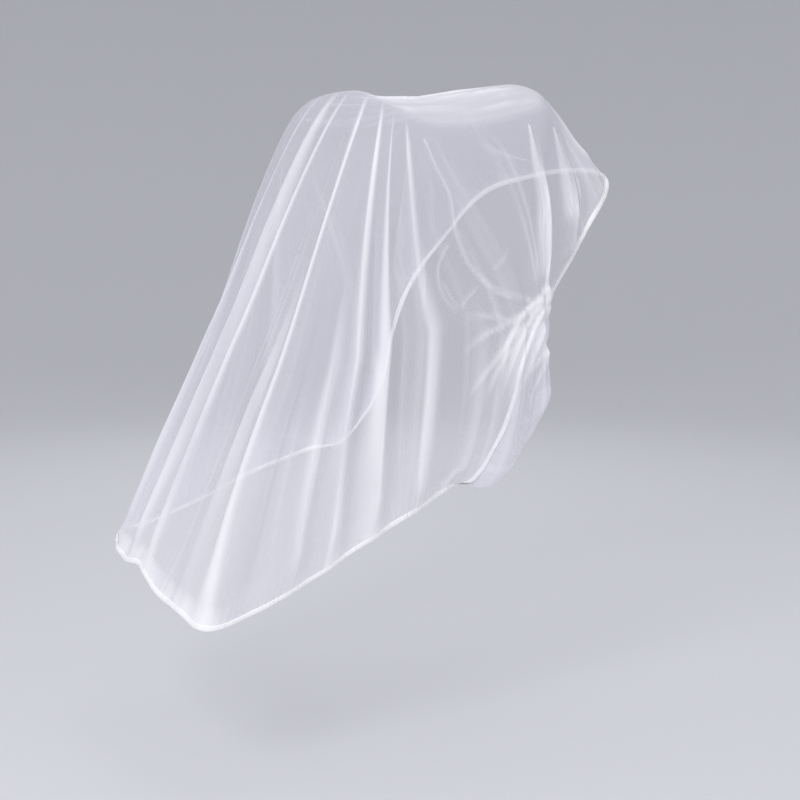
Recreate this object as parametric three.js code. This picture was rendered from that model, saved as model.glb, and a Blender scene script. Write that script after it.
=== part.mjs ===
// Mosquito net: one sheet of tulle that hangs from the two ridges of its top, spans forward and down
// to its low front edge and is drawn in round its whole edge by a folded elastic binding.
// X runs from the front edge to the back, Y to the far side, Z up, all in millimetres.
// The origin is under the middle of the net's top, where it is carried.
import * as THREE from 'three';

// Driving sizes
const CLOTH = 1.2; // one layer of tulle with its fine gathers
const RIDGE_FRONT = -150; // X of the top's front ridge
const RIDGE_BACK = 120; // X of its back ridge
const RIDGE_HALF_WIDTH = 194;
const BACK_RISE = 17; // the back ridge stands this much higher than the front one
const TOP_DIP = 15; // sag of the net between the ridges
const DIP_SKEW = 0.7; // under 1 puts the lowest point nearer the front ridge
const FRONT_DROP = { down: 62, power: 2.3 }; // how the front ridge falls to its ends
const BACK_DROP = { down: 64, power: 3.4 }; // the same for the back ridge
const BINDING = { deep: 7, wall: 0.9, gap: 0.5 }; // a U over the net's edge

// The front corner of the far side is drawn up and in; the near one hangs loose.
const FAR_CORNER = { back: 47, in: 25, up: 51 };

// Stations round the edge of the near side, from the front centre to the back centre.
// top: X and Y at the edge of the net's top. waist, lip, hem: points down the net from there, and
// with no waist and lip it runs straight. The lip is the lowest point where the edge tucks under.
// hang: the station's share in the loose front corner, 0 to 1. sag: mm in from straight.
const NEAR_STATIONS = [
  { place: 'front centre', top: [-146, 0], hem: [-480, 0, -684], hang: 0.35, sag: 2 },
  { place: 'front inner', top: [-148, -58], hem: [-486, -68, -708], hang: 0.4, sag: 5 },
  { place: 'front outer', top: [-149, -100], hem: [-487, -142, -716], hang: 0.7, sag: 6 },
  { place: 'front corner', top: [-148, -128], hem: [-478, -224, -729], hang: 1, sag: 6 },
  { place: 'corner side', top: [-145, -147], hem: [-405, -231, -711], hang: 0.8, sag: 8 },
  { place: 'side front', top: [-139, -161], hem: [-320, -230, -677], hang: 0.5, sag: 8 },
  { place: 'side middle', top: [-126, -171], hem: [-235, -229, -637], hang: 0.25, sag: 4 },
  { place: 'side back', top: [-104, -179], hem: [-158, -227, -604], hang: 0.1 },
  {
    place: 'tuck start',
    top: [-68, -182],
    waist: [-42, -214, -312],
    lip: [-74, -235, -542],
    hem: [-87, -215, -577],
  },
  {
    place: 'pouch front',
    top: [-30, -183],
    waist: [34, -231, -336],
    lip: [-20, -234, -563],
    hem: [-28, -199, -560],
  },
  {
    place: 'pouch low',
    top: [10, -182],
    waist: [48, -235, -329],
    lip: [30, -236, -530],
    hem: [16, -190, -514],
  },
  {
    place: 'pouch back',
    top: [48, -180],
    waist: [58, -236, -321],
    lip: [58, -235, -468],
    hem: [46, -188, -452],
  },
  {
    place: 'gather',
    top: [84, -177],
    waist: [66, -231, -312],
    lip: [70, -229, -388],
    hem: [68, -190, -378],
  },
  {
    place: 'above the gather',
    top: [108, -172],
    waist: [90, -206, -196],
    lip: [91, -211, -262],
    hem: [108, -197, -302],
  },
  { place: 'back side', top: [118, -162], hem: [165, -190, -228], sag: -2 },
  { place: 'back corner', top: [128, -136], hem: [238, -166, -146], sag: 1 },
  { place: 'back inner', top: [134, -75], hem: [286, -94, -118], sag: -4 },
  { place: 'back centre', top: [136, 0], hem: [300, 0, -110], sag: -4 },
];

// Main folds, each on its own line down the net. top, middle and hem: mm along the hem from the front
// centre, the near side positive, at the top's edge, at the bend in the line and at the hem.
// wide: mm from side to side at the hem. high: mm it stands out, a trough where negative.
// start and end: where it fades in and out, from 0 at the top's edge to 1 at the hem.
const FOLDS = [
  { top: -1185, middle: -1190, hem: -1180, wide: 90, high: 5, start: 0.1, end: 1.1 },
  { top: -1010, middle: -1060, hem: -1050, wide: 80, high: -5, start: 0.1, end: 1.1 },
  { top: -890, middle: -940, hem: -930, wide: 70, high: 9, start: 0.05, end: 1.0 },
  { top: -790, middle: -855, hem: -850, wide: 55, high: -6, start: 0.1, end: 1.0 },
  { top: -700, middle: -775, hem: -780, wide: 60, high: 10, start: 0.15, end: 1.1 },
  { top: -590, middle: -690, hem: -690, wide: 65, high: -8, start: 0.15, end: 1.1 },
  { top: -500, middle: -620, hem: -625, wide: 60, high: 9, start: 0.1, end: 1.1 },
  { top: -420, middle: -540, hem: -545, wide: 75, high: -9, start: 0.1, end: 1.1 },
  { top: -345, middle: -465, hem: -470, wide: 70, high: 11, start: 0.04, end: 1.1 },
  { top: -285, middle: -390, hem: -395, wide: 70, high: -10, start: 0.05, end: 1.1 },
  { top: -230, middle: -315, hem: -320, wide: 75, high: 9, start: 0.05, end: 1.1 },
  { top: -165, middle: -240, hem: -235, wide: 60, high: 8, start: 0.03, end: 1.2 },
  { top: -110, middle: -185, hem: -175, wide: 50, high: -9, start: 0.04, end: 1.1 },
  { top: -40, middle: -120, hem: -112, wide: 50, high: 10, start: 0.02, end: 1.2 },
  { top: -18, middle: -82, hem: -78, wide: 38, high: -6, start: 0.04, end: 1.1 },
  { top: 2, middle: -42, hem: -44, wide: 42, high: 8, start: 0.02, end: 1.1 },
  { top: 26, middle: -14, hem: -10, wide: 36, high: -6, start: 0.04, end: 1.1 },
  { top: 50, middle: 14, hem: 24, wide: 46, high: 9, start: 0.02, end: 1.2 },
  { top: 92, middle: 76, hem: 84, wide: 58, high: -8, start: 0.04, end: 1.1 },
  { top: 120, middle: 146, hem: 152, wide: 60, high: 9, start: 0.25, end: 1.2 },
  { top: 132, middle: 198, hem: 222, wide: 50, high: 12, start: 0.02, end: 1.2 },
  { top: 182, middle: 264, hem: 290, wide: 60, high: -10, start: 0.04, end: 1.1 },
  { top: 205, middle: 334, hem: 360, wide: 50, high: 10, start: 0.25, end: 1.1 },
  { top: 236, middle: 404, hem: 424, wide: 48, high: 12, start: 0.02, end: 1.2 },
  { top: 290, middle: 448, hem: 465, wide: 44, high: -9, start: 0.05, end: 1.1 },
  { top: 345, middle: 490, hem: 506, wide: 48, high: 12, start: 0.02, end: 1.2 },
  { top: 392, middle: 542, hem: 545, wide: 46, high: -10, start: 0.05, end: 1.1 },
  { top: 455, middle: 594, hem: 584, wide: 50, high: 13, start: 0.02, end: 1.1 },
  { top: 510, middle: 655, hem: 638, wide: 56, high: -9, start: 0.05, end: 1.1 },
  { top: 585, middle: 725, hem: 698, wide: 52, high: 11, start: 0.03, end: 1.1 },
  { top: 665, middle: 795, hem: 765, wide: 58, high: -8, start: 0.05, end: 1.1 },
  { top: 750, middle: 880, hem: 828, wide: 52, high: 9, start: 0.03, end: 1.0 },
  { top: 832, middle: 940, hem: 884, wide: 46, high: -7, start: 0.05, end: 1.0 },
  { top: 914, middle: 985, hem: 936, wide: 50, high: 10, start: 0.03, end: 1.0 },
  { top: 1005, middle: 1055, hem: 1004, wide: 62, high: -7, start: 0.05, end: 1.0 },
  { top: 1112, middle: 1138, hem: 1078, wide: 62, high: 9, start: 0.03, end: 1.1 },
  { top: 1180, middle: 1185, hem: 1150, wide: 60, high: -5, start: 0.1, end: 1.1 },
  { top: 1235, middle: 1222, hem: 1205, wide: 56, high: 6, start: 0.03, end: 1.1 },
];
const BEND = 0.38; // share of the way down to the bend in a fold's line
const SWING = 1.5; // higher makes a fold leave the top more sideways
const FADE = 0.22; // share of the way down over which a fold fades in or out
const SHARPNESS = 1.6; // higher makes a fold narrower within its width
const ROOM = 1.15; // a fold keeps its height until the cloth is this much narrower than at the hem
const HEM_HOLD = 0.35; // the binding leaves this share of a fold's height at the edge
const HOLD_FROM = 0.85; // and holds it from here down
const EDGE_STRIP = 9; // mm of cloth under the binding and just past it, straight down the net
const STRIP_LINE = 0.3; // levels up from the hem to the point that gives the strip its direction

// Mesh density: the rings of points, from the hem up. steps: rings in that stretch.
const EDGE_POINTS = 192;
const STRETCHES = [
  { from: 'hem', to: 'lip', steps: 2, points: EDGE_POINTS },
  { from: 'lip', to: 'waist', steps: 4, points: EDGE_POINTS },
  { from: 'waist', to: 'top', steps: 4, points: 132 },
];
const SHOULDER_LEVEL = 0.08; // one more ring, where the net bends over the top's edge
const CAP_RINGS = [
  { out: 0.82, points: 88 },
  { out: 0.5, points: 44 },
  { out: 0.2, points: 16 },
];

const lerp = THREE.MathUtils.lerp;
const smooth = THREE.MathUtils.smoothstep;

// Share of the way from the front ridge to the back one.
function backShare(x) {
  return THREE.MathUtils.clamp((x - RIDGE_FRONT) / (RIDGE_BACK - RIDGE_FRONT), 0, 1);
}

// Height of the top's middle line, from ridge to ridge.
function rise(x) {
  const back = backShare(x);
  return BACK_RISE * back - TOP_DIP * Math.sin(Math.PI * back ** DIP_SKEW);
}

// Height of the cloth on the top, with the net's underside at 0 over the origin.
function topHeight(x, y) {
  const back = backShare(x);
  const out = Math.abs(y) / RIDGE_HALF_WIDTH;
  const drop = lerp(
    FRONT_DROP.down * out ** FRONT_DROP.power,
    BACK_DROP.down * out ** BACK_DROP.power,
    back,
  );
  return CLOTH / 2 + rise(x) - rise(0) - drop;
}

// The far side mirrors the near one, with its front corner drawn up.
function farStation({ hang = 0, ...near }) {
  const [x, y, z] = near.hem;
  const mirror = (point) => point && point.map((value, axis) => (axis === 1 ? -value : value));
  return {
    ...near,
    top: mirror(near.top),
    waist: mirror(near.waist),
    lip: mirror(near.lip),
    hem: [x + FAR_CORNER.back * hang ** 2, -y - FAR_CORNER.in * hang, z + FAR_CORNER.up * hang],
  };
}

const farStations = NEAR_STATIONS.slice(1, -1).reverse().map(farStation);
const STATIONS = [...NEAR_STATIONS, ...farStations];

// The levels of a rib, and the points that a station's rib runs through there.
const LEVELS = { top: 0, waist: 1, lip: 2, hem: 3 };
const LIP_SHARE = 0.6; // of the way from waist to hem, where the net runs straight

function ribPoints({ top, waist, lip, hem, sag = 0 }) {
  const high = new THREE.Vector3(top[0], top[1], topHeight(...top));
  const low = new THREE.Vector3(...hem);
  const middle = high.clone().lerp(low, 0.5);
  const inward = new THREE.Vector3(-middle.x, -middle.y, 0).normalize();
  middle.addScaledVector(inward, sag);
  if (waist) middle.set(...waist);
  const under = lip ? new THREE.Vector3(...lip) : middle.clone().lerp(low, LIP_SHARE);
  return { top: high, waist: middle, lip: under, hem: low };
}

// One smooth closed loop round the net for each level.
const LENGTH_STEPS = 50; // steps from station to station in which a loop's length is measured
const loops = {};
for (const level of Object.keys(LEVELS)) {
  const points = STATIONS.map((station) => ribPoints(station)[level]);
  loops[level] = new THREE.CatmullRomCurve3(points, true, 'centripetal');
  loops[level].arcLengthDivisions = LENGTH_STEPS * STATIONS.length;
}
const HEM_LENGTH = loops.hem.getLength();
const ROUNDING = 0.12; // share of the way to the middle that steers a rib over the top's edge

// A point of the plain net at a share of the way round the hem, at a level from 0 to 3.
function netPoint(share, level) {
  const t = loops.hem.getUtoTmapping(THREE.MathUtils.euclideanModulo(share, 1));
  const points = Object.values(loops).map((loop) => loop.getPoint(t));
  const inner = points[0].clone().multiplyScalar(1 - ROUNDING);
  inner.z = topHeight(inner.x, inner.y);
  const rib = new THREE.CatmullRomCurve3([inner, ...points], false, 'centripetal');
  return rib.getPoint((level + 1) / points.length);
}

// Place along the hem of a fold's line. It swings out from the top and then runs nearly straight.
function foldLine({ top, middle, hem }, down) {
  const swing = 1 - Math.max(0, 1 - down / BEND) ** SWING;
  return lerp(top, middle, swing) + (hem - middle) * smooth(down, BEND, 1);
}

// Height of the folds over the plain net. They are lower where the cloth runs together.
function foldHeight(share, level) {
  const down = level / LEVELS.hem;
  const reach = 0.5 / EDGE_POINTS;
  const width = netPoint(share - reach, level).distanceTo(netPoint(share + reach, level));
  const room = Math.min(1, (ROOM * width * EDGE_POINTS) / HEM_LENGTH);
  const along = (share > 0.5 ? share - 1 : share) * HEM_LENGTH;
  let height = 0;
  for (const fold of FOLDS) {
    const off = (along - foldLine(fold, down)) / (fold.wide / 2);
    const fadeIn = smooth(down, fold.start, fold.start + FADE);
    const fadeOut = 1 - smooth(down, fold.end - FADE, fold.end);
    height += fold.high * Math.exp(-SHARPNESS * off * off) * fadeIn * fadeOut;
  }
  return height * room * lerp(1, HEM_HOLD, smooth(down, HOLD_FROM, 1));
}

// Rings of points from the hem up to the middle of the top.
function ringOf(points, place) {
  return Array.from({ length: points }, (_, i) => place(i / points));
}

function ribRing(points, level) {
  return ringOf(points, (share) => ({ at: netPoint(share, level), fold: foldHeight(share, level) }));
}

function capRing({ out, points }) {
  return ringOf(points, (share) => {
    const at = netPoint(share, LEVELS.top).multiplyScalar(out);
    at.z = topHeight(at.x, at.y);
    return { at, fold: 0 };
  });
}

// The strip under the binding moves with the hem, so that both faces of it stay flat.
function stripRing(points) {
  return ringOf(points, (share) => {
    const hem = netPoint(share, LEVELS.hem);
    const up = netPoint(share, LEVELS.hem - STRIP_LINE).sub(hem).setLength(EDGE_STRIP);
    return { at: hem.add(up), fold: foldHeight(share, LEVELS.hem) };
  });
}

const rings = [ribRing(EDGE_POINTS, LEVELS.hem), stripRing(EDGE_POINTS)];
for (const { from, to, steps, points } of STRETCHES) {
  for (let step = from === 'hem' ? 1 : 0; step < steps; step++) {
    rings.push(ribRing(points, lerp(LEVELS[from], LEVELS[to], step / steps)));
  }
}
for (const level of [SHOULDER_LEVEL, LEVELS.top]) {
  rings.push(ribRing(STRETCHES.at(-1).points, level));
}
CAP_RINGS.forEach((row) => rings.push(capRing(row)));
rings.push([{ at: new THREE.Vector3(0, 0, topHeight(0, 0)), fold: 0 }]);

// Joins two rings, counted from where each starts, with triangles that face out of the net.
function bridge(outer, inner, faces) {
  let i = 0;
  let j = 0;
  const insideSteps = inner.length > 1 ? inner.length : 0;
  while (i < outer.length || j < insideSteps) {
    const outerNext = (i + 1) / outer.length;
    const innerNext = insideSteps ? (j + 1) / insideSteps : Infinity;
    const a = outer.start + (i % outer.length);
    const b = inner.start + (j % inner.length);
    if (i < outer.length && outerNext <= innerNext) {
      faces.push(a, outer.start + ((i + 1) % outer.length), b);
      i++;
    } else {
      faces.push(a, inner.start + ((j + 1) % inner.length), b);
      j++;
    }
  }
}

function meshFrom(points, faces) {
  const geometry = new THREE.BufferGeometry();
  geometry.setAttribute('position', new THREE.Float32BufferAttribute(points.flatMap((p) => p.toArray()), 3));
  geometry.setIndex(faces);
  return geometry;
}

function normalsOf(points, faces) {
  const geometry = meshFrom(points, faces);
  geometry.computeVertexNormals();
  const normal = geometry.getAttribute('normal');
  return points.map((_, i) => new THREE.Vector3().fromBufferAttribute(normal, i));
}

// The middle of the cloth, first plain and then with its folds.
const ringRows = [];
let start = 0;
for (const ring of rings) {
  ringRows.push({ start, length: ring.length });
  start += ring.length;
}
const sheetFaces = [];
ringRows.slice(1).forEach((inner, i) => bridge(ringRows[i], inner, sheetFaces));
const plain = rings.flat();
const plainPoints = plain.map(({ at }) => at);
const plainNormals = normalsOf(plainPoints, sheetFaces);
const sheet = plainPoints.map((p, i) => p.clone().addScaledVector(plainNormals[i], plain[i].fold));
const sheetNormals = normalsOf(sheet, sheetFaces);

// Both faces of the cloth, closed round the hem.
function netGeometry() {
  const skin = (side) => sheet.map((p, i) => p.clone().addScaledVector(sheetNormals[i], (side * CLOTH) / 2));
  const points = [...skin(1), ...skin(-1)];
  const faces = [...sheetFaces];
  for (let k = 0; k < sheetFaces.length; k += 3) {
    const [a, b, c] = sheetFaces.slice(k, k + 3).map((v) => v + sheet.length);
    faces.push(a, c, b);
  }
  for (let i = 0; i < EDGE_POINTS; i++) {
    const next = (i + 1) % EDGE_POINTS;
    const inside = sheet.length + i;
    faces.push(next, i, inside, next, inside, sheet.length + next);
  }
  return meshFrom(points, faces);
}

// A U of elastic folded over the edge, clear of both faces of the cloth.
function bindingGeometry() {
  const near = CLOTH / 2 + BINDING.gap;
  const wide = near + BINDING.wall;
  const tip = BINDING.gap + BINDING.wall;
  const section = [
    { side: wide, down: -BINDING.deep },
    { side: wide, down: tip },
    { side: -wide, down: tip },
    { side: -wide, down: -BINDING.deep },
    { side: -near, down: -BINDING.deep },
    { side: -near, down: BINDING.gap },
    { side: near, down: BINDING.gap },
    { side: near, down: -BINDING.deep },
  ];
  const points = [];
  for (let i = 0; i < EDGE_POINTS; i++) {
    const down = sheet[i].clone().sub(sheet[EDGE_POINTS + i]).normalize();
    const normal = sheetNormals[i];
    for (const corner of section) {
      points.push(sheet[i].clone().addScaledVector(normal, corner.side).addScaledVector(down, corner.down));
    }
  }
  const faces = [];
  for (let i = 0; i < EDGE_POINTS; i++) {
    const here = i * section.length;
    const there = ((i + 1) % EDGE_POINTS) * section.length;
    for (let k = 0; k < section.length; k++) {
      const next = (k + 1) % section.length;
      // The walls are split the same way as the cloth between them, so that the gap stays even.
      if (section[next].down < section[k].down) {
        faces.push(here + k, here + next, there + k, here + next, there + next, there + k);
      } else {
        faces.push(here + k, here + next, there + next, here + k, there + next, there + k);
      }
    }
  }
  return meshFrom(points, faces);
}

function piece(name, geometry, material) {
  const mesh = new THREE.Mesh(geometry, material);
  mesh.name = name;
  return mesh;
}

const tulle = new THREE.MeshStandardMaterial({
  color: 0xf1f0f5, roughness: 0.75, metalness: 0, transparent: true, opacity: 0.45,
});
const elastic = new THREE.MeshStandardMaterial({ color: 0xfafafa, roughness: 0.7, metalness: 0 });

const mosquitoNet = new THREE.Group();
mosquitoNet.add(piece('net', netGeometry(), tulle));
mosquitoNet.add(piece('elastic_binding', bindingGeometry(), elastic));

export default mosquitoNet;
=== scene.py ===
import math
import random

import bmesh
import bpy
import numpy as np
from mathutils import Matrix, Vector


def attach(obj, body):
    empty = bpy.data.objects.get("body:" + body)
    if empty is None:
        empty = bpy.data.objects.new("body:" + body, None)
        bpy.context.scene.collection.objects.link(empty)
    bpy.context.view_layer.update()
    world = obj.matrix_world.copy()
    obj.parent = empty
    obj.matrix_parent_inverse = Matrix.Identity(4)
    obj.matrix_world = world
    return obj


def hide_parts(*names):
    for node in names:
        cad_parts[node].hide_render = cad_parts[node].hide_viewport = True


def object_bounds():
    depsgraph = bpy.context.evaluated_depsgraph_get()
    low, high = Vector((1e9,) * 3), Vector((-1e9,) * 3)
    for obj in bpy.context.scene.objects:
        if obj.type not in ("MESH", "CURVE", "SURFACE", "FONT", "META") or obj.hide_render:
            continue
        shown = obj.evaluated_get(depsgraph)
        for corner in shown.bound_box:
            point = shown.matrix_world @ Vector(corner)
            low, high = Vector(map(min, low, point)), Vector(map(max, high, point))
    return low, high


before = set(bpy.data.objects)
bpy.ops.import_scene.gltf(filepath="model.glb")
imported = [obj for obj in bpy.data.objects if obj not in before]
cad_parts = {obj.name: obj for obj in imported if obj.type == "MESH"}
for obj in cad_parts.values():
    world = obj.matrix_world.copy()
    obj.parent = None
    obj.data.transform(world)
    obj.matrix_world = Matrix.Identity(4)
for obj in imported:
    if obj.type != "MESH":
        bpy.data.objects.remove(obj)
cad_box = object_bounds()

# The net: one oblong of white polyester tulle, cut flat with round corners. It hangs from the two ridges of
# its top, and elastic draws its edge in, so it falls in pleats that fan out from the ridges, hangs in a loose
# pouch at the side and is bunched above it. Sizes here are in millimetres.
MM = 0.001
CLOTH = 1.2
RIDGE_FRONT = -150
RIDGE_BACK = 120
RIDGE_HALF_WIDTH = 194
BACK_RISE = 17
TOP_DIP = 15
DIP_SKEW = 0.7
FRONT_DROP = dict(down=62, power=2.3)
BACK_DROP = dict(down=64, power=3.4)
FAR_CORNER = dict(back=47, inward=25, up=51)

# Stations round the near side, from the front centre to the back centre: a place on the edge of the top, then
# points down to the net's edge. The far side mirrors them, with its front corner drawn up.
NEAR_STATIONS = {
    "front centre": dict(top=(-146, 0), hem=(-480, 0, -684), hang=0.35, sag=2),
    "front inner": dict(top=(-148, -58), hem=(-486, -68, -708), hang=0.4, sag=5),
    "front outer": dict(top=(-149, -100), hem=(-487, -142, -716), hang=0.7, sag=6),
    "front corner": dict(top=(-148, -128), hem=(-478, -224, -729), hang=1, sag=6),
    "corner side": dict(top=(-145, -147), hem=(-405, -231, -711), hang=0.8, sag=8),
    "side front": dict(top=(-139, -161), hem=(-320, -230, -677), hang=0.5, sag=8),
    "side middle": dict(top=(-126, -171), hem=(-235, -229, -637), hang=0.25, sag=4),
    "side back": dict(top=(-104, -179), hem=(-158, -227, -604), hang=0.1),
    "tuck start": dict(
        top=(-68, -182), waist=(-42, -214, -312), lip=(-74, -235, -542), hem=(-87, -215, -577)
    ),
    "pouch front": dict(
        top=(-30, -183), waist=(34, -231, -336), lip=(-20, -234, -563), hem=(-28, -199, -560)
    ),
    "pouch low": dict(
        top=(10, -182), waist=(48, -235, -329), lip=(30, -236, -530), hem=(16, -190, -514)
    ),
    "pouch back": dict(
        top=(48, -180), waist=(58, -236, -321), lip=(58, -235, -468), hem=(46, -188, -452)
    ),
    "gather": dict(
        top=(84, -177), waist=(66, -231, -312), lip=(70, -229, -388), hem=(68, -190, -378)
    ),
    "above gather": dict(
        top=(108, -172), waist=(90, -206, -196), lip=(91, -211, -262), hem=(108, -197, -302)
    ),
    "back side": dict(top=(118, -162), hem=(165, -190, -228), sag=-2),
    "back corner": dict(top=(128, -136), hem=(238, -166, -146), sag=1),
    "back inner": dict(top=(134, -75), hem=(286, -94, -118), sag=-4),
    "back centre": dict(top=(136, 0), hem=(300, 0, -110), sag=-4),
}

# Main folds, each on its own line down the net. top, middle, hem: places along the edge from the front
# centre, the near side positive, where the line leaves the top, bends and meets the edge. high: negative in
# a trough. start, end: on the way down from 0 at the top's edge to 1 at the net's. white: extra layers.
FOLDS = [
    dict(top=-1185, middle=-1190, hem=-1180, wide=90, high=5, start=0.1, end=1.1, white=0.6),
    dict(top=-1010, middle=-1060, hem=-1050, wide=80, high=-5, start=0.1, end=1.1, white=0),
    dict(top=-890, middle=-940, hem=-930, wide=70, high=9, start=0.05, end=1.0, white=1.1),
    dict(top=-790, middle=-855, hem=-850, wide=55, high=-6, start=0.1, end=1.0, white=0),
    dict(top=-700, middle=-775, hem=-780, wide=60, high=10, start=0.15, end=1.1, white=1.2),
    dict(top=-590, middle=-690, hem=-690, wide=65, high=-8, start=0.15, end=1.1, white=0),
    dict(top=-500, middle=-620, hem=-625, wide=60, high=9, start=0.1, end=1.1, white=1),
    dict(top=-420, middle=-540, hem=-545, wide=75, high=-9, start=0.1, end=1.1, white=0),
    dict(top=-345, middle=-465, hem=-470, wide=70, high=11, start=0.04, end=1.1, white=1.4),
    dict(top=-285, middle=-390, hem=-395, wide=70, high=-10, start=0.05, end=1.1, white=0),
    dict(top=-230, middle=-315, hem=-320, wide=75, high=9, start=0.05, end=1.1, white=1),
    dict(top=-165, middle=-240, hem=-235, wide=60, high=8, start=0.03, end=1.2, white=1.4),
    dict(top=-110, middle=-185, hem=-175, wide=50, high=-9, start=0.04, end=1.1, white=0),
    dict(top=-40, middle=-120, hem=-112, wide=50, high=10, start=0.02, end=1.2, white=2.4),
    dict(top=-18, middle=-82, hem=-78, wide=38, high=-6, start=0.04, end=1.1, white=0),
    dict(top=2, middle=-42, hem=-44, wide=42, high=8, start=0.02, end=1.1, white=2.6),
    dict(top=26, middle=-14, hem=-10, wide=36, high=-6, start=0.04, end=1.1, white=0),
    dict(top=50, middle=14, hem=24, wide=46, high=9, start=0.02, end=1.2, white=2.8),
    dict(top=92, middle=76, hem=84, wide=58, high=-8, start=0.04, end=1.1, white=0),
    dict(top=120, middle=146, hem=152, wide=60, high=9, start=0.25, end=1.2, white=1.2),
    dict(top=132, middle=198, hem=222, wide=50, high=12, start=0.02, end=1.2, white=3.8),
    dict(top=182, middle=264, hem=290, wide=60, high=-10, start=0.04, end=1.1, white=0),
    dict(top=205, middle=334, hem=360, wide=50, high=10, start=0.25, end=1.1, white=1.5),
    dict(top=236, middle=404, hem=424, wide=48, high=12, start=0.02, end=1.2, white=4.2),
    dict(top=290, middle=448, hem=465, wide=44, high=-9, start=0.05, end=1.1, white=0),
    dict(top=345, middle=490, hem=506, wide=48, high=12, start=0.02, end=1.2, white=4),
    dict(top=392, middle=542, hem=545, wide=46, high=-10, start=0.05, end=1.1, white=0),
    dict(top=455, middle=594, hem=584, wide=50, high=13, start=0.02, end=1.1, white=4.2),
    dict(top=510, middle=655, hem=638, wide=56, high=-9, start=0.05, end=1.1, white=0),
    dict(top=585, middle=725, hem=698, wide=52, high=11, start=0.03, end=1.1, white=0.4),
    dict(top=665, middle=795, hem=765, wide=58, high=-8, start=0.05, end=1.1, white=0),
    dict(top=750, middle=880, hem=828, wide=52, high=9, start=0.03, end=1.0, white=1),
    dict(top=832, middle=940, hem=884, wide=46, high=-7, start=0.05, end=1.0, white=0),
    dict(top=914, middle=985, hem=936, wide=50, high=10, start=0.03, end=1.0, white=0.5),
    dict(top=1005, middle=1055, hem=1004, wide=62, high=-7, start=0.05, end=1.0, white=0),
    dict(top=1112, middle=1138, hem=1078, wide=62, high=9, start=0.03, end=1.1, white=0.5),
    dict(top=1180, middle=1185, hem=1150, wide=60, high=-5, start=0.1, end=1.1, white=0),
    dict(top=1235, middle=1222, hem=1205, wide=56, high=6, start=0.03, end=1.1, white=1.2),
]
BEND = 0.38
SWING = 1.5
FADE = 0.22
SHARPNESS = 1.6
ROOM = 1.15
HEM_HOLD = 0.35
HOLD_FROM = 0.85

# Mesh density of the sheet: columns round the edge, closer together where the side is creased, and rows from
# the edge up to the pole of the top. INNER is the ring where the shoulder of the top begins, as a share.
COLUMNS = 790
CREASED = dict(middle=670, reach=110, closer=1.3, power=4)
ROWS = dict(under=14, skirt=40, side=48, shoulder=4, cap=14)
INNER = 0.88
STEPS_A_STATION = 50
EVEN_STEPS = 4000


def smooth(value, low, high):
    t = np.clip((value - low) / (high - low), 0, 1)
    return t * t * (3 - 2 * t)


def spline(points, at, closed=False):
    """Points of a centripetal curve through the given ones, at shares from 0 to 1 of its spans."""
    points = np.asarray(points, float)
    before, after = points[-1:], points[:2]
    if not closed:
        before, after = [2 * points[0] - points[1]], [2 * points[-1] - points[-2]]
    padded = np.concatenate([before, points, after])
    spans = len(points) if closed else len(points) - 1
    at = np.asarray(at, float) * spans
    first = np.minimum(at.astype(int), spans - 1)
    t = (at - first).reshape(at.shape + (1,) * (points.ndim - 1))
    a, b, c, d = (padded[first + k] for k in range(4))
    pairs = ((a, b), (b, c), (c, d))
    ab, bc, cd = (np.sqrt(np.linalg.norm(q - p, axis=-1, keepdims=True)) for p, q in pairs)
    leave = ((b - a) / ab - (c - a) / (ab + bc) + (c - b) / bc) * bc
    arrive = ((c - b) / bc - (d - b) / (bc + cd) + (d - c) / cd) * bc
    return b + leave * t + (3 * (c - b) - 2 * leave - arrive) * t**2 + (2 * (b - c) + leave + arrive) * t**3


def back_share(x):
    return np.clip((x - RIDGE_FRONT) / (RIDGE_BACK - RIDGE_FRONT), 0, 1)


def rise(x):
    back = back_share(x)
    return BACK_RISE * back - TOP_DIP * np.sin(math.pi * back**DIP_SKEW)


def top_height(x, y):
    back = back_share(x)
    out = np.abs(y) / RIDGE_HALF_WIDTH
    front_drop = FRONT_DROP["down"] * out ** FRONT_DROP["power"]
    back_drop = BACK_DROP["down"] * out ** BACK_DROP["power"]
    return CLOTH / 2 + rise(x) - rise(0) - (front_drop * (1 - back) + back_drop * back)


def mirrored(point):
    return (point[0], -point[1], *point[2:])


def far_station(near):
    hang = near.get("hang", 0)
    far = {key: mirrored(near[key]) for key in ("top", "waist", "lip") if key in near}
    x, y, z = mirrored(near["hem"])
    moved = (x + FAR_CORNER["back"] * hang**2, y - FAR_CORNER["inward"] * hang, z + FAR_CORNER["up"] * hang)
    return dict(far, sag=near.get("sag", 0), hem=moved)


def rib_points(station):
    high = np.array([*station["top"], top_height(*station["top"])])
    low = np.array(station["hem"], float)
    middle = (high + low) / 2
    middle[:2] -= station.get("sag", 0) * middle[:2] / np.linalg.norm(middle[:2])
    middle = np.array(station.get("waist", middle), float)
    under = np.array(station.get("lip", middle * 0.4 + low * 0.6), float)
    return high, middle, under, low


near_stations = list(NEAR_STATIONS.values())
stations = near_stations + [far_station(s) for s in reversed(near_stations[1:-1])]
loops = [np.array(loop) for loop in zip(*(rib_points(s) for s in stations))]
steps = np.linspace(0, 1, STEPS_A_STATION * len(stations) + 1)
hem_steps = spline(loops[3], steps, closed=True)
hem_run = np.concatenate([[0], np.cumsum(np.linalg.norm(np.diff(hem_steps, axis=0), axis=1))])
HEM_LENGTH = hem_run[-1]

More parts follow.
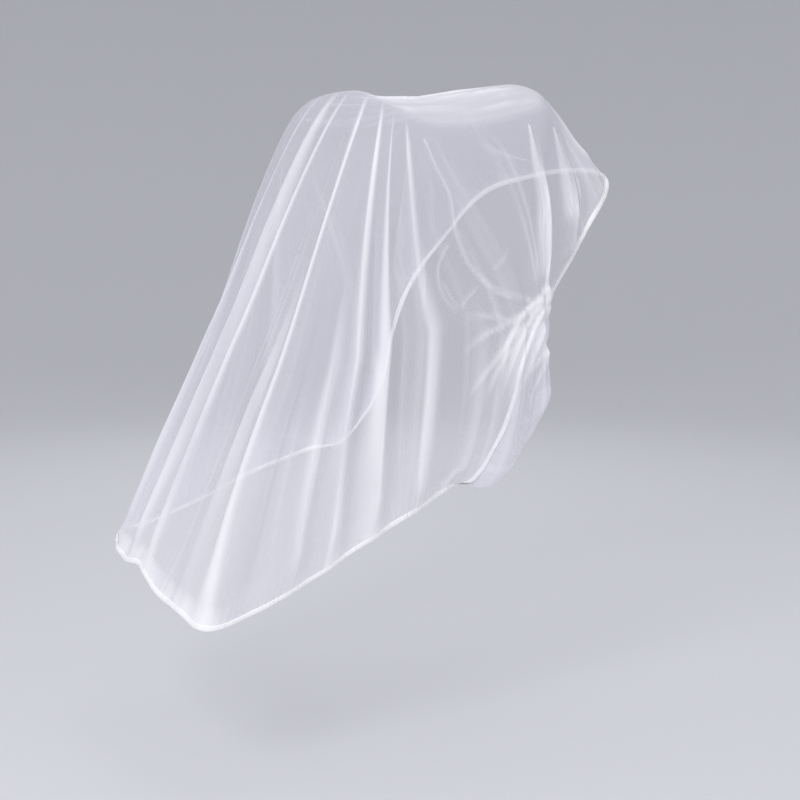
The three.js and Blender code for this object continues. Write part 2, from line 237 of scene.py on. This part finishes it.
# The plain net first, row by row from its edge (level 3) to the edge of its top (0) and inward (-1).
even = np.linspace(0, 1, EVEN_STEPS + 1)
from_creased = (even * HEM_LENGTH - CREASED["middle"]) / CREASED["reach"]
closeness = 1 + CREASED["closer"] * np.exp(-(from_creased ** CREASED["power"]))
passed = np.concatenate([[0], np.cumsum(closeness[1:])])
share = np.interp(np.arange(COLUMNS) / COLUMNS, passed / passed[-1], even)
along_steps = np.interp(share * HEM_LENGTH, hem_run, steps)
levels = np.concatenate([
    np.linspace(3, 2, ROWS["under"], endpoint=False),
    np.linspace(2, 1, ROWS["skirt"], endpoint=False),
    np.linspace(1, 0, ROWS["side"], endpoint=False),
    np.linspace(0, -1, ROWS["shoulder"], endpoint=False),
])
around = [spline(loop, along_steps, closed=True) for loop in loops]
inner = around[0] * INNER
inner[:, 2] = top_height(inner[:, 0], inner[:, 1])
walls = spline(np.stack([inner, *around]), (levels + 1) / 4)
outs = np.linspace(1, 0, ROWS["cap"] + 1)[:, None, None]
cap = inner[None] * outs
cap[..., 2] = top_height(cap[..., 0], cap[..., 1])
plain = np.concatenate([walls, cap])
down = np.concatenate([levels / 3, np.linspace(-1 / 3, -1, len(outs))])[:, None]


def normals_of(grid):
    across = np.roll(grid, -1, axis=1) - np.roll(grid, 1, axis=1)
    up = np.gradient(grid, axis=0)
    normal = np.cross(across, up)
    length = np.linalg.norm(normal, axis=-1, keepdims=True)
    normal = normal / np.maximum(length, 1e-9)
    normal[-1] = (0, 0, 1)
    return normal


# Folds move the sheet along its normals. Each one also says how much cloth lies double in it, which the
# material turns into whiteness. STREAK: the band of doubled cloth in a fold, its half width and the share of
# the way down where it has widened. Every third band is broader low down. BAND_EDGE: how far the band reaches
# on its crisp and its soft side, in half widths, and how steeply it ends.
STREAK = dict(half=8, wider=6, widened=0.35, uneven=0.3, broader=5, broad_from=0.3, broad_by=0.9)
STREAK_GROWS = (-0.03, 0.07)
BAND_EDGE = dict(crisp=0.6, soft=1.3, power=2.4)
along = (share * HEM_LENGTH)[None]
along = np.where(along > HEM_LENGTH / 2, along - HEM_LENGTH, along)
across = np.roll(plain, -1, axis=1) - np.roll(plain, 1, axis=1)
hem_step = (np.roll(share, -1) - np.roll(share, 1)) % 1 * HEM_LENGTH
room = np.minimum(1, ROOM * np.linalg.norm(across, axis=-1) / hem_step)
hold = 1 + (HEM_HOLD - 1) * smooth(down, HOLD_FROM, 1)
height = np.zeros(plain.shape[:2])
layers = np.ones(plain.shape[:2])
chance = random.Random(5)


def away(place):
    """Distance along the edge from a place, the short way round."""
    return (along - place + HEM_LENGTH / 2) % HEM_LENGTH - HEM_LENGTH / 2


def fades(start, end, grows=(0, FADE)):
    return smooth(down, start + grows[0], start + grows[1]) * (1 - smooth(down, end - FADE, end))


def fold_line(top, middle, hem):
    """Place along the edge of a fold's line: it swings out from the top and then runs nearly straight."""
    swing = 1 - np.maximum(0, 1 - np.maximum(down, 0) / BEND) ** SWING
    return top + (middle - top) * swing + (hem - middle) * smooth(down, BEND, 1)


def doubled(off, half, lean):
    """A band of doubled cloth, crisp on the side that it leans to and soft on the other."""
    t = np.where(off * lean > 0, off / (BAND_EDGE["crisp"] * half), off / (BAND_EDGE["soft"] * half))
    return np.exp(-np.abs(t) ** BAND_EDGE["power"])


for k, fold in enumerate(FOLDS):
    off = away(fold_line(fold["top"], fold["middle"], fold["hem"]))
    ridge = fades(fold["start"], fold["end"])
    height += fold["high"] * np.exp(-SHARPNESS * (off / (fold["wide"] / 2)) ** 2) * ridge
    half = STREAK["half"] + STREAK["wider"] * smooth(down, 0, STREAK["widened"])
    half = half * (1 + STREAK["uneven"] * np.sin(1.7 * k + 5 * down))
    half = half + STREAK["broader"] * smooth(down, STREAK["broad_from"], STREAK["broad_by"]) * (k % 3 == 1)
    uneven = 0.75 + 0.25 * np.sin(2.2 * k + 8 * down)
    shown = fades(fold["start"], fold["end"], STREAK_GROWS)
    layers += fold["white"] * uneven * doubled(off, half, 1 if k % 4 < 2 else -1) * shown
height *= room * hold

# Fine pleats lie in uneven groups beside the main folds and follow their lines. PLEAT gives the range of each
# size. On the far side, from the place far_from on, a pleat is less white by the factor far_white. least_room:
# how flat a crowded pleat may get.
PLEAT = dict(
    apart=(34, 84), count=(1, 3), aside=(-20, 20), wide=(9, 22), high=(0.8, 2.6), start=(0.0, 0.4),
    end=(0.55, 1.3), white=(0.15, 1.0), sway=(-8, 8), far_from=-250, far_white=0.6, least_room=0.45,
)
lines = sorted((fold["hem"], fold["top"], fold["middle"]) for fold in FOLDS)
known = [[line[column] for line in lines] for column in range(3)]
group = -HEM_LENGTH / 2
while group < HEM_LENGTH / 2:
    group += chance.uniform(*PLEAT["apart"])
    for _ in range(chance.randint(*PLEAT["count"])):
        hem = group + chance.uniform(*PLEAT["aside"])
        wide = chance.uniform(*PLEAT["wide"])
        high = chance.uniform(*PLEAT["high"])
        start = chance.uniform(*PLEAT["start"])
        end = chance.uniform(*PLEAT["end"])
        white = chance.uniform(*PLEAT["white"]) * (PLEAT["far_white"] if hem < PLEAT["far_from"] else 1)
        line = fold_line(np.interp(hem, known[0], known[1]), np.interp(hem, known[0], known[2]), hem)
        off = away(line + chance.uniform(*PLEAT["sway"]) * np.sin(4 * down + hem))
        ridge = fades(start, end)
        pleat = high * np.exp(-SHARPNESS * (off / (wide / 2)) ** 2)
        height += pleat * ridge * np.maximum(room, PLEAT["least_room"]) * hold
        layers += white * doubled(off, wide / 2, chance.choice((-1, 1))) * ridge

# Creases of the near side that cross the pleats, each along a line of (x, z) points seen from that side.
# wide: at the line's two ends. fade: share of the line from which it runs out. white: extra layers of cloth.
# CAUGHT: how far from the bunch its pull reaches, and how much height and whiteness the pleats lose there.
BUNCH_LINE = [(80, -292), (58, -323), (34, -362), (10, -408), (-24, -485)]
CAUGHT = dict(reach=42, power=4, high=0.4, white=0.8)
BUNCH = dict(line=BUNCH_LINE, wide=(20, 74), high=2, white=3.4, fade=0.45)
FROM_BACK_RIDGE = [
    dict(wide=(4, 46), high=2.4, white=2.6, fade=0.9,
         line=[(72, -50), (75, -102), (84, -160), (78, -216), (74, -290)]),
    dict(wide=(4, 36), high=2, white=2.4, fade=0.8,
         line=[(126, -52), (138, -98), (148, -150), (154, -205)]),
    dict(wide=(3, 16), high=1.5, white=1.4, fade=0.6,
         line=[(166, -118), (180, -165)]),
]
FROM_BUNCH = [
    dict(wide=(8, 8), high=3, white=3, fade=0.7,
         line=[(76, -291), (50, -311), (24, -335), (3, -375), (-11, -430)]),
    dict(wide=(6, 8), high=3, white=2.2, fade=0.6,
         line=[(79, -296), (54, -318), (32, -352), (8, -400), (-16, -455)]),
    dict(wide=(6, 9), high=3, white=2.2, fade=0.6,
         line=[(80, -298), (60, -326), (42, -364), (18, -410), (-6, -458)]),
    dict(wide=(7, 8), high=2.6, white=2, fade=0.5,
         line=[(83, -302), (68, -334), (54, -372), (32, -414), (8, -450)]),
    dict(wide=(7, 8), high=2.4, white=2, fade=0.6,
         line=[(84, -304), (78, -338), (68, -376), (47, -402), (27, -428)]),
    dict(wide=(7, 10), high=2.6, white=1.6, fade=0.5,
         line=[(80, -345), (75, -413), (62, -446), (54, -498)]),
    dict(wide=(6, 8), high=2.2, white=1.4, fade=0.5,
         line=[(70, -350), (60, -400), (44, -440), (26, -480)]),
    dict(wide=(9, 9), high=2.6, white=1.3, fade=0.5,
         line=[(46, -312), (10, -334), (-15, -329), (-43, -327), (-68, -333)]),
    dict(wide=(8, 9), high=2.4, white=1.8, fade=0.5,
         line=[(46, -320), (12, -338), (-15, -348), (-43, -364), (-71, -388)]),
    dict(wide=(8, 9), high=2.4, white=1.8, fade=0.5,
         line=[(22, -348), (0, -374), (-20, -396), (-46, -425), (-67, -453)]),
    dict(wide=(7, 8), high=2, white=1.4, fade=0.5,
         line=[(8, -378), (-6, -394), (-25, -426), (-39, -459)]),
]
SLACK = [
    dict(wide=(5, 7), high=2.2, white=1.5, fade=0.98,
         line=[(-112, -76), (-99, -111), (-78, -155), (-70, -202)]),
    dict(wide=(7, 8), high=2.2, white=1.6, fade=0.95,
         line=[(-70, -202), (-51, -248), (-30, -274), (-3, -294), (50, -306)]),
    dict(wide=(7, 8), high=1.6, white=1.2, fade=0.8,
         line=[(-79, -224), (-97, -256), (-96, -287), (-82, -310), (-62, -326)]),
    dict(wide=(7, 7), high=1.2, white=0.9, fade=0.7,
         line=[(-89, -280), (-76, -302), (-60, -320)]),
    dict(wide=(7, 6), high=1.2, white=1, fade=0.6,
         line=[(-59, -311), (-47, -297), (-28, -278)]),
    dict(wide=(7, 6), high=1.2, white=0.8, fade=0.6,
         line=[(-12, -257), (2, -243), (16, -222)]),
]
LINE_STEPS = 24
ON_SIDE = (110, 150)
OFF_EDGE = (0.8, 0.93)
near_side = smooth(-plain[..., 1], *ON_SIDE) * (1 - smooth(down, *OFF_EDGE))


def from_line(line):
    """Distance of the sheet from a line drawn on the near side, and the share of the line nearest to it."""
    drawn = spline(np.array(line, float), np.linspace(0, 1, LINE_STEPS + 1))
    nearest = np.full(plain.shape[:2], np.inf)
    on = np.zeros(plain.shape[:2])
    for k, (start, step) in enumerate(zip(drawn, np.diff(drawn, axis=0))):
        gap = plain[..., [0, 2]] - start
        t = np.clip(gap @ step / (step @ step), 0, 1)
        gap = np.linalg.norm(gap - t[..., None] * step, axis=-1)
        on = np.where(gap < nearest, (k + t) / LINE_STEPS, on)
        nearest = np.minimum(nearest, gap)
    return nearest, on


# Where the cloth is caught its pleats are pulled aside, so they show less there.
from_bunch = from_line(BUNCH_LINE[:4])[0]
caught = np.exp(-((from_bunch / CAUGHT["reach"]) ** CAUGHT["power"])) * near_side
layers = 1 + (layers - 1) * (1 - CAUGHT["white"] * caught)
height = height * (1 - CAUGHT["high"] * caught)
for crease in [BUNCH, *FROM_BACK_RIDGE, *FROM_BUNCH, *SLACK]:
    off, on = from_line(crease["line"])
    first, last = crease["wide"]
    reach = off / ((first + (last - first) * on) / 2)
    lasting = near_side * (1 - smooth(on, crease["fade"], 1))
    height += crease["high"] * np.exp(-SHARPNESS * reach**2) * lasting
    layers += crease["white"] * np.exp(-(reach**3)) * (0.82 + 0.18 * np.cos(1.2 * off)) * lasting

# On the top the cloth is pulled from ridge to ridge, so its creases run lengthwise there, between the ridges.
TOP_CREASES = dict(
    count=15, out=150, aside=(-9, 9), turn=(-0.12, 0.12), sway=5, sway_long=(45, 80), wide=(4.5, 9),
    high=(0.8, 2.4), white=(0.4, 1.6), from_edge=50,
)
TOP_WHITE = 0.5
x_now, y_now = plain[..., 0], plain[..., 1]
between = smooth(x_now, RIDGE_FRONT, RIDGE_FRONT + TOP_CREASES["from_edge"])
before_back = 1 - smooth(x_now, RIDGE_BACK - TOP_CREASES["from_edge"], RIDGE_BACK)
for k in range(TOP_CREASES["count"]):
    start_y = -TOP_CREASES["out"] + 2 * TOP_CREASES["out"] * k / (TOP_CREASES["count"] - 1)
    start_y += chance.uniform(*TOP_CREASES["aside"])
    turn = chance.uniform(*TOP_CREASES["turn"])
    wave = TOP_CREASES["sway"] * np.sin(x_now / chance.uniform(*TOP_CREASES["sway_long"]) + k)
    off = y_now - (start_y + turn * x_now + wave)
    ridge = np.exp(-((off / chance.uniform(*TOP_CREASES["wide"])) ** 2)) * (1 - smooth(down, -0.2, 0.06))
    ridge = ridge * between * before_back
    height += chance.uniform(*TOP_CREASES["high"]) * ridge
    layers += chance.uniform(*TOP_CREASES["white"]) * ridge
layers += TOP_WHITE * (1 - smooth(down, -0.2, 0.05))

# The edge: the elastic draws the cloth into short puckers, closest at the edge. Along the front a flap of
# cloth lies double there. white: layers without the wave, and what the wave adds.
PUCKER = dict(apart=11, high=1.7, starts=(8, 14), reach=26, white=(0.7, 0.5), white_reach=18)
FLAP = dict(middle=20, half=(190, 260), deep=(16, 36), white=(1.8, 0.6))
rib_steps = np.linalg.norm(np.diff(plain, axis=0), axis=-1)
from_edge = np.concatenate([np.zeros((1, COLUMNS)), np.cumsum(rib_steps, axis=0)])
pucker = np.sin(2 * math.pi * along / PUCKER["apart"] + 1.7 * np.sin(along / 31))
pucker = pucker * (0.6 + 0.4 * np.sin(along / 17))
pucker_fade = smooth(from_edge, *PUCKER["starts"]) * np.exp(-from_edge / PUCKER["reach"])
height += PUCKER["high"] * pucker * pucker_fade
plain_white, wave_white = PUCKER["white"]
layers += (plain_white + wave_white * pucker) * np.exp(-from_edge / PUCKER["white_reach"])
front_flap = 1 - smooth(np.abs(along - FLAP["middle"]), *FLAP["half"])
front_flap = front_flap * (1 - smooth(from_edge, *FLAP["deep"]))
plain_white, wave_white = FLAP["white"]
layers += front_flap * (plain_white + wave_white * np.sin(along / 7 + 2 * np.sin(along / 23)))

normal = normals_of(plain)
sheet = plain + normal * height[..., None]
sheet_normals = normals_of(sheet)


def ring_values(rows):
    """Rows of values round the net, each with its first value again at its end, as one list."""
    joined = np.concatenate([rows, rows[:, :1]], axis=1)
    return joined.reshape(-1, *rows.shape[2:])


def ring_grid(points, uv_name, uv):
    """A mesh grid through rows of points round the net, with a UV map."""
    grid = bmesh.new()
    rows, columns = points.shape[:2]
    bmesh.ops.create_grid(grid, x_segments=columns, y_segments=rows - 1, size=0.5)
    grid.verts.ensure_lookup_table()
    for vert, place in zip(grid.verts, ring_values(points) * MM):
        vert.co = place
    layer = grid.loops.layers.uv.new(uv_name)
    for face in grid.faces:
        for loop in face.loops:
            loop[layer].uv = uv[loop.vert.index]
    return grid


def new_piece(name, bm, gap=0):
    """Makes a mesh a piece, once its seams are closed where their vertices lie within the gap, in metres."""
    if gap:
        bmesh.ops.remove_doubles(bm, verts=bm.verts, dist=gap)
        bmesh.ops.recalc_face_normals(bm, faces=bm.faces)
    mesh = bpy.data.meshes.new(name)
    bm.to_mesh(mesh)
    bm.free()
    mesh.shade_smooth()
    piece = bpy.data.objects.new(name, mesh)
    bpy.context.collection.objects.link(piece)
    return piece


# The weave is laid out flat from the middle of the top: a direction for each column, and its length down.
turn = np.append(share, 1) * 2 * math.pi
reach = ring_values(from_edge[-1] - from_edge).reshape(len(sheet), -1) * MM
flat_cut = np.stack([reach * np.cos(turn), reach * np.sin(turn)], axis=-1).reshape(-1, 2)
bm = ring_grid(sheet, "cloth", flat_cut)
density_layer = bm.verts.layers.float.new("layers")
for vert, amount in zip(bm.verts, ring_values(layers)):
    vert[density_layer] = amount
net = new_piece("tulle_net", bm, 0.00002)


def srgb(code):
    """The linear colour of an sRGB hex code."""
    parts = [int(code[i : i + 2], 16) / 255 for i in (1, 3, 5)]
    return [c / 12.92 if c <= 0.04045 else ((c + 0.055) / 1.055) ** 2.4 for c in parts] + [1]


def add_node(tree, kind, inputs={}, **settings):
    """Adds a node. An input is a value, or another node's output socket to link."""
    node = tree.nodes.new(kind)
    for key, value in settings.items():
        setattr(node, key, value)
    for key, value in inputs.items():
        if isinstance(value, bpy.types.NodeSocket):
            tree.links.new(value, node.inputs[key])
        else:
            node.inputs[key].default_value = value
    return node


def new_material(name):
    material = bpy.data.materials.new(name)
    material.use_nodes = True
    material.node_tree.nodes.clear()
    return material, material.node_tree


# Tulle is knitted polyester filament, an open six-sided mesh of about 1 mm: mostly air, with matt white
# threads, so one layer is a faint lilac-white haze and folds with more layers turn white. The mesh is far too
# fine to show here, so it is drawn 3.2 mm wide and faint. ONE_LAYER: the share of light that a layer stops.
tulle, tree = new_material("polyester_tulle")
ONE_LAYER = 0.25
MESH_PITCH = 3.2
amount = add_node(tree, "ShaderNodeAttribute", attribute_name="layers")
clear = add_node(tree, "ShaderNodeMath", {0: 1 - ONE_LAYER, 1: amount.outputs["Fac"]}, operation="POWER")
cover = add_node(tree, "ShaderNodeMath", {0: 1.0, 1: clear.outputs[0]}, operation="SUBTRACT")
cloth_uv = add_node(tree, "ShaderNodeUVMap", uv_map="cloth")
cells = add_node(
    tree,
    "ShaderNodeTexVoronoi",
    {"Vector": cloth_uv.outputs["UV"], "Scale": 1000 / MESH_PITCH, "Randomness": 0.45},
    voronoi_dimensions="2D",
    feature="DISTANCE_TO_EDGE",
)
thread = add_node(
    tree,
    "ShaderNodeMapRange",
    {"Value": cells.outputs["Distance"], "From Min": 0.02, "From Max": 0.25, "To Min": 1.1, "To Max": 0.93},
)
holes = add_node(tree, "ShaderNodeMath", {0: cover.outputs[0], 1: thread.outputs[0]}, operation="MULTIPLY")
colour = add_node(
    tree,
    "ShaderNodeMapRange",
    {"Value": amount.outputs["Fac"], "From Min": 1.0, "From Max": 3.5},
)
tint = add_node(
    tree,
    "ShaderNodeMix",
    {"Factor": colour.outputs[0], "A": srgb("#E8E6F1"), "B": srgb("#F8F7FC")},
    data_type="RGBA",
)
skin = add_node(
    tree,
    "ShaderNodeBsdfPrincipled",
    {
        "Base Color": tint.outputs["Result"],
        "Roughness": 0.6,
        "IOR": 1.57,
        "Specular IOR Level": 0.25,
        "Sheen Weight": 0.3,
        "Sheen Roughness": 0.45,
        "Alpha": holes.outputs[0],
    },
)
add_node(tree, "ShaderNodeOutputMaterial", {"Surface": skin.outputs[0]})
net.data.materials.append(tulle)
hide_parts("net")
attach(net, "root")

# The elastic binding: a knitted white elastic band folded over the cloth's raw edge and sewn through while
# it is stretched, so that it draws the net in. Let go, it puckers into small ripples.
BAND = dict(deep=7.2, wall=0.85, gap=0.35, ripple=6.2, swell=0.3)
BAND_COLUMNS = 1800
RIB_PITCH = 1.1
run = np.linspace(0, COLUMNS, BAND_COLUMNS, endpoint=False)


def round_hem(row):
    closed = np.concatenate([row, row[:1]])
    return np.stack([np.interp(run, np.arange(COLUMNS + 1), closed[:, k]) for k in range(3)], axis=-1)


edge = round_hem(sheet[0])
edge_normal = round_hem(sheet_normals[0])
edge_normal /= np.linalg.norm(edge_normal, axis=1, keepdims=True)
edge_down = round_hem(sheet[0] - sheet[2])
edge_down /= np.linalg.norm(edge_down, axis=1, keepdims=True)
edge_steps = np.linalg.norm(np.roll(edge, -1, axis=0) - edge, axis=1)
edge_run = np.concatenate([[0], np.cumsum(edge_steps)[:-1]])
near = CLOTH / 2 + BAND["gap"]
wide = near + BAND["wall"]
brim = -BAND["deep"]
section = [
    (wide - 0.25, brim), (wide, brim + 0.4), (wide, -3.6), (wide, -0.6), (wide * 0.72, 0.9),
    (0.0, 1.35), (-wide * 0.72, 0.9), (-wide, -0.6), (-wide, -3.6), (-wide, brim + 0.4),
    (-wide + 0.25, brim), (-near, brim + 0.5), (-near, -0.3), (near, -0.3), (near, brim + 0.5),
]
wave = 2 * math.pi * edge_run / BAND["ripple"]
ripple = BAND["swell"] * np.sin(wave + 1.3 * np.sin(edge_run / 23)) * (0.7 + 0.3 * np.sin(edge_run / 41))
rings = []
for side, low in section:
    outer = abs(side) > near
    swell = 1 + (ripple / wide if outer else 0 * ripple)
    lift = 0.35 * ripple if low <= brim + 0.5 else 0 * ripple
    rings.append(edge + edge_normal * (side * swell)[:, None] + edge_down * (low + lift)[:, None])
rings.append(rings[0])

widths = [0] + [math.dist(section[k], section[(k + 1) % len(section)]) for k in range(len(section))]
v_of = np.cumsum(widths)
u_of = np.append(edge_run, edge_run[-1] + edge_steps[-1])
band_uv = np.stack(np.broadcast_arrays(u_of[None, :], v_of[:, None]), axis=-1).reshape(-1, 2) * MM
band = new_piece("folded_elastic", ring_grid(np.stack(rings), "band", band_uv), 0.00001)

# Knitted elastic is matt white polyester over rubber, with fine ribs along it, here 1.1 mm apart.
elastic, tree = new_material("knitted_elastic")
band_uv_node = add_node(tree, "ShaderNodeUVMap", uv_map="band")
parts = add_node(tree, "ShaderNodeSeparateXYZ", {"Vector": band_uv_node.outputs["UV"]})
rib_wave = add_node(
    tree, "ShaderNodeMath", {0: parts.outputs["Y"], 1: 2 * math.pi * 1000 / RIB_PITCH}, operation="MULTIPLY"
)
rib = add_node(tree, "ShaderNodeMath", {0: rib_wave.outputs[0]}, operation="SINE")
knit = add_node(
    tree, "ShaderNodeTexNoise", {"Vector": band_uv_node.outputs["UV"], "Scale": 900.0, "Detail": 2.0}
)
relief = add_node(
    tree, "ShaderNodeMath", {0: rib.outputs[0], 1: 0.35, 2: knit.outputs["Fac"]}, operation="MULTIPLY_ADD"
)
bump = add_node(
    tree, "ShaderNodeBump", {"Height": relief.outputs[0], "Distance": 0.00025, "Strength": 0.6}
)
shade = add_node(
    tree,
    "ShaderNodeMix",
    {"Factor": knit.outputs["Fac"], "A": srgb("#F1F0F4"), "B": srgb("#FFFFFF")},
    data_type="RGBA",
)
body = add_node(
    tree,
    "ShaderNodeBsdfPrincipled",
    {
        "Base Color": shade.outputs["Result"],
        "Roughness": 0.7,
        "IOR": 1.5,
        "Sheen Weight": 0.2,
        "Normal": bump.outputs["Normal"],
    },
)
add_node(tree, "ShaderNodeOutputMaterial", {"Surface": body.outputs[0]})
band.data.materials.append(elastic)
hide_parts("elastic_binding")
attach(band, "root")

# The stitching: one row of white polyester thread through the band and the cloth, near the band's upper edge.
STITCH = dict(long=2.7, pitch=3.6, thick=0.42, below_top=1.9)
row_low = brim + STITCH["below_top"]
bm = bmesh.new()
for k in range(int((edge_run[-1] + edge_steps[-1]) / STITCH["pitch"])):
    i = int(np.searchsorted(edge_run, (k + 0.5) * STITCH["pitch"])) % BAND_COLUMNS
    ahead = Vector(edge[(i + 1) % BAND_COLUMNS] - edge[i - 1]).normalized()
    out = Vector(edge_normal[i])
    out = (out - ahead * out.dot(ahead)).normalized()
    middle = Vector(edge[i] + edge_down[i] * row_low) + out * float(wide + ripple[i] + 0.05)
    turned = Matrix((ahead, out.cross(ahead), out)).transposed().to_4x4()
    size = Matrix.Diagonal((STITCH["long"] / 2, STITCH["thick"] / 2, STITCH["thick"] / 2, 1))
    place = Matrix.Translation(middle * MM) @ turned @ size @ Matrix.Scale(MM, 4)
    bmesh.ops.create_uvsphere(bm, u_segments=6, v_segments=4, radius=1, matrix=place)
stitches = new_piece("binding_stitches", bm)

# Spun polyester thread: matt, a shade brighter than the elastic.
thread_material, tree = new_material("polyester_thread")
place_node = add_node(tree, "ShaderNodeTexCoord")
grain_inputs = {"Vector": place_node.outputs["Object"], "Scale": 2500.0, "Detail": 1.0}
grain = add_node(tree, "ShaderNodeTexNoise", grain_inputs)
thread_tint = add_node(
    tree,
    "ShaderNodeMix",
    {"Factor": grain.outputs["Fac"], "A": srgb("#E9E9EE"), "B": srgb("#FFFFFF")},
    data_type="RGBA",
)
thread_shader = add_node(
    tree, "ShaderNodeBsdfPrincipled", {"Base Color": thread_tint.outputs["Result"], "Roughness": 0.55}
)
add_node(tree, "ShaderNodeOutputMaterial", {"Surface": thread_shader.outputs[0]})
stitches.data.materials.append(thread_material)
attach(stitches, "root")

# The stage: one pale paper sweep, a floor that curves up into a low wall all round, under an even studio sky
# with soft lamps at the front left, the right, above and behind.
SWEEP = dict(inner=0.8, floor=3.4, bend=2.4, wall=1.2, low=-0.95, bend_steps=12, turns=96)
bm = bmesh.new()
bends = [math.radians(90 / SWEEP["bend_steps"] * k) for k in range(SWEEP["bend_steps"] + 1)]
corner = [(SWEEP["floor"] + SWEEP["bend"] * math.sin(a), SWEEP["bend"] * (1 - math.cos(a))) for a in bends]
profile = [(0, 0), (SWEEP["inner"], 0), *corner, (corner[-1][0], corner[-1][1] + SWEEP["wall"])]
chain = [bm.verts.new((x, 0, SWEEP["low"] + z)) for x, z in profile]
strip = [bm.edges.new(pair) for pair in zip(chain, chain[1:])]
around_z = dict(axis=(0, 0, 1), cent=(0, 0, 0), angle=2 * math.pi)
bmesh.ops.spin(bm, geom=chain + strip, **around_z, steps=SWEEP["turns"], use_merge=True)
floor = new_piece("paper_sweep", bm, 0.0001)
paper, tree = new_material("backdrop_paper")
paper_look = {"Base Color": srgb("#C6C7CC"), "Roughness": 0.9, "Specular IOR Level": 0.1}
paper_shader = add_node(tree, "ShaderNodeBsdfPrincipled", paper_look)
add_node(tree, "ShaderNodeOutputMaterial", {"Surface": paper_shader.outputs[0]})
floor.data.materials.append(paper)

world = bpy.data.worlds.new("studio")
bpy.context.scene.world = world
world.use_nodes = True
world.node_tree.nodes["Background"].inputs["Color"].default_value = srgb("#FBFBFF")
world.node_tree.nodes["Background"].inputs["Strength"].default_value = 0.85
bpy.context.scene.view_settings.view_transform = "Standard"


NET_MIDDLE = Vector((-0.08, 0, -0.35))


def soft_light(name, place, power, size):
    """A round lamp of the given power in watts and size in metres that shines on the net's middle."""
    lamp = bpy.data.lights.new(name, "AREA")
    lamp.energy = power
    lamp.shape = "DISK"
    lamp.size = size
    light = bpy.data.objects.new(name, lamp)
    light.location = place
    light.rotation_euler = (NET_MIDDLE - Vector(place)).to_track_quat("-Z", "Y").to_euler()
    bpy.context.collection.objects.link(light)


soft_light("key", (-2.4, -1.6, 1.5), 50, 1.4)
soft_light("fill", (1.8, -2.4, 0.6), 13, 2.2)
soft_light("top", (0.3, 0.3, 2.4), 14, 1.8)
soft_light("back", (1.2, 2.6, 1.3), 14, 1.8)

# The camera stands where the photograph was taken from, a little above the net's middle, at its front left.
AZIMUTH, ELEVATION = math.radians(-31.95), math.radians(6.88)
EYE = Vector((-1.306, -2.034, -0.182))
camera = bpy.data.objects.new("camera", bpy.data.cameras.new("camera"))
camera.data.lens = 68.85
camera.data.sensor_width = 36
camera.data.clip_end = 200
backward = Vector((
    math.sin(AZIMUTH) * math.cos(ELEVATION), -math.cos(AZIMUTH) * math.cos(ELEVATION), math.sin(ELEVATION)
))
camera.location = EYE
camera.rotation_euler = backward.to_track_quat("Z", "Y").to_euler()
bpy.context.collection.objects.link(camera)
bpy.context.scene.camera = camera

low, high = cad_box
